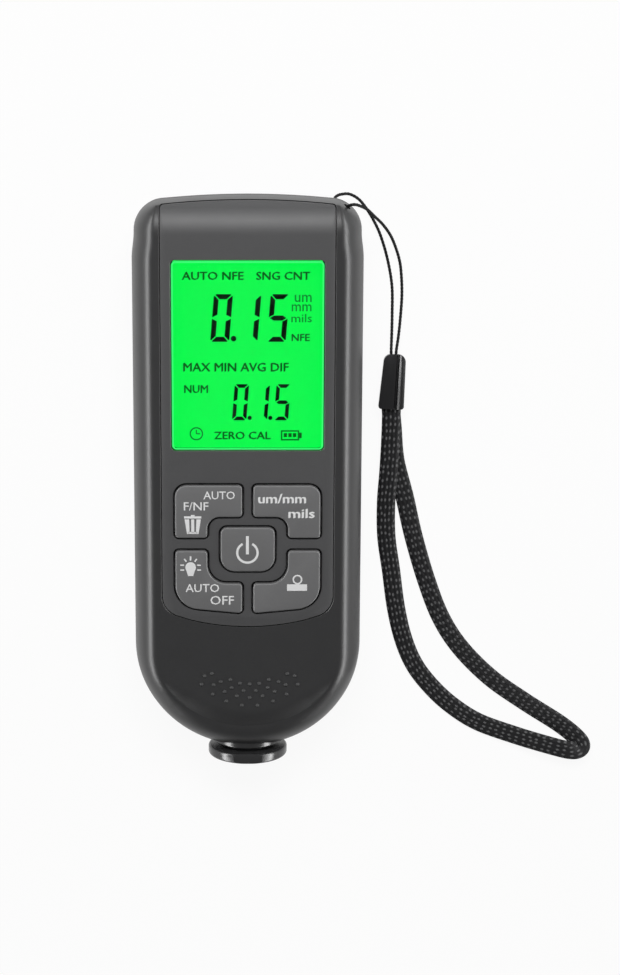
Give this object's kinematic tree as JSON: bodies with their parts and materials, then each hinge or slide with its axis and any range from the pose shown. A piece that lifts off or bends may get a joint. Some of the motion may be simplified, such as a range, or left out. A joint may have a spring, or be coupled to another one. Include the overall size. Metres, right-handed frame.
{
  "type": "coating thickness gauge",
  "caption": "Handheld gauge with a bent front panel, lit display, push keys, a spring-loaded probe, a battery door and a wrist strap on a cord.",
  "frame": {"origin": "on the flat back the gauge lies on, at the centre of the case with its probe; the strap and its cord are not counted", "axes": "+Z out of the display, +Y from the probe towards the lanyard end, +X to the right of someone who reads the display"},
  "size_m": [0.0993, 0.1233, 0.0245],
  "materials": {
    "case_plastic": "dark charcoal moulded plastic, satin",
    "panel_plastic": "grey satin panel plastic",
    "lens": "clear acrylic window",
    "lcd_screen": "green lit liquid crystal display with dark digits",
    "diffuser_plastic": "white light guide",
    "inner_plastic": "black holder plastic",
    "contact_rubber": "layered conductive rubber",
    "key_plastic": "grey satin key plastic with white print",
    "keypad_rubber": "dark silicone rubber",
    "board_laminate": "green circuit board laminate",
    "chip_resin": "black moulded resin",
    "cell_can": "plain wrapped cell",
    "spring_steel": "plated spring wire",
    "contact_metal": "nickel plated strip",
    "probe_plastic": "glossy near-black plastic",
    "core_steel": "ground steel core",
    "coil_wire": "enamelled copper winding",
    "screw_steel": "blackened steel screw",
    "cord_nylon": "black twisted nylon cord",
    "clip_plastic": "glossy black moulded clip",
    "strap_nylon": "black flat braid with grey flecks"
  },
  "bodies": {
    "case": {"front_cover": "case_plastic", "rear_cover": "case_plastic", "face_panel": "panel_plastic", "display_lens": "lens", "lcd_glass": "lcd_screen", "backlight": "diffuser_plastic", "lcd_frame": "inner_plastic", "contact_strip": "contact_rubber", "keypad_mat": "keypad_rubber", "main_board": "board_laminate", "processor_chip": "chip_resin", "battery_1": "cell_can", "battery_2": "cell_can", "battery_spring_1": "spring_steel", "battery_spring_2": "spring_steel", "contact_plate_lower": "contact_metal", "contact_plate_upper": "contact_metal", "probe_nose": "probe_plastic", "probe_spring": "spring_steel", "case_screw_1": "screw_steel", "case_screw_2": "screw_steel", "case_screw_3": "screw_steel", "case_screw_4": "screw_steel", "cord_loop": "cord_nylon", "strap_ferrule": "clip_plastic", "wrist_strap": "strap_nylon"},
    "probe": {"probe_foot": "probe_plastic", "probe_retainer": "spring_steel", "probe_core": "core_steel", "probe_coil": "coil_wire"},
    "mode_button": {"key_mode": "key_plastic"},
    "units_button": {"key_units": "key_plastic"},
    "power_button": {"key_power": "key_plastic"},
    "light_button": {"key_light": "key_plastic"},
    "zero_button": {"key_zero": "key_plastic"},
    "door": {"battery_door": "case_plastic"}
  },
  "joints": [
    {"name": "probe_press", "type": "slide", "parent": "case", "child": "probe", "axis": [0, 1, 0], "range_m": [0, 0.0008], "stiffness_N_per_m": 500, "springref_m": -0.002, "deforming": ["probe_spring"]},
    {"name": "mode_press", "type": "slide", "parent": "case", "child": "mode_button", "axis": [0, 0, -1], "range_m": [0, 0.0006], "stiffness_N_per_m": 600, "springref_m": -0.0005},
    {"name": "units_press", "type": "slide", "parent": "case", "child": "units_button", "axis": [0, 0, -1], "range_m": [0, 0.0006], "stiffness_N_per_m": 600, "springref_m": -0.0005},
    {"name": "power_press", "type": "slide", "parent": "case", "child": "power_button", "axis": [0, 0, -1], "range_m": [0, 0.0006], "stiffness_N_per_m": 600, "springref_m": -0.0005},
    {"name": "light_press", "type": "slide", "parent": "case", "child": "light_button", "axis": [0, 0, -1], "range_m": [0, 0.0006], "stiffness_N_per_m": 600, "springref_m": -0.0005},
    {"name": "zero_press", "type": "slide", "parent": "case", "child": "zero_button", "axis": [0, 0, -1], "range_m": [0, 0.0006], "stiffness_N_per_m": 600, "springref_m": -0.0005},
    {"name": "door_tilt", "type": "hinge", "parent": "case", "child": "door", "pos_m": [0, -0.019, 0.0001], "axis": [-1, 0, 0], "range_deg": [0, 28]}
  ]
}
